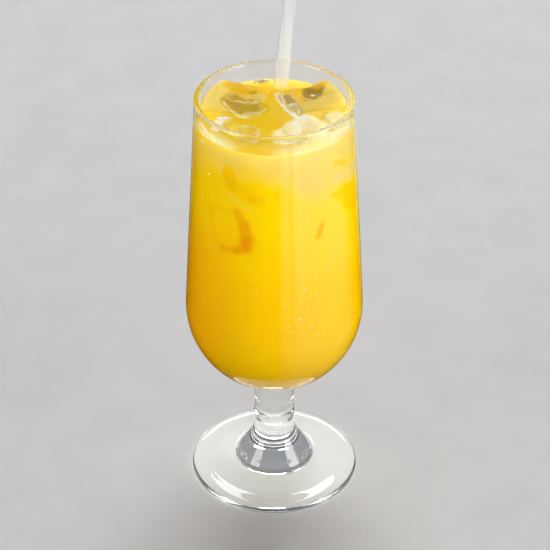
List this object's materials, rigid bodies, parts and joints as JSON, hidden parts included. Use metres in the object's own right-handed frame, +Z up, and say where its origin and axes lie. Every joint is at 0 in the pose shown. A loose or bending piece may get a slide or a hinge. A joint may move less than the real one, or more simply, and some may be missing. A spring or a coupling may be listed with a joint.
{
  "type": "glass of orange juice",
  "caption": "Footed glass of orange juice filled to near the rim, with ice breaking the surface and a clear drinking straw leaning on the back of the rim.",
  "frame": {"origin": "centre of the foot, on the surface that the glass stands on", "axes": "+Z up along the axis of the glass; -Y is the front, the side that the picture shows; the straw leans towards +X and +Y"},
  "size_m": [0.0742, 0.0742, 0.267],
  "materials": {
    "clear_glass": "polished, clear",
    "orange_juice": "wet, opaque",
    "clear_plastic": "smooth, translucent",
    "ice": "wet, melted"
  },
  "bodies": {
    "root": {"glass": "clear_glass", "juice": "orange_juice", "straw": "clear_plastic", "ice_back_left": "ice", "ice_back_right": "ice", "ice_front_right": "ice", "ice_right": "ice", "ice_left": "ice", "ice_front": "ice"}
  },
  "joints": []
}
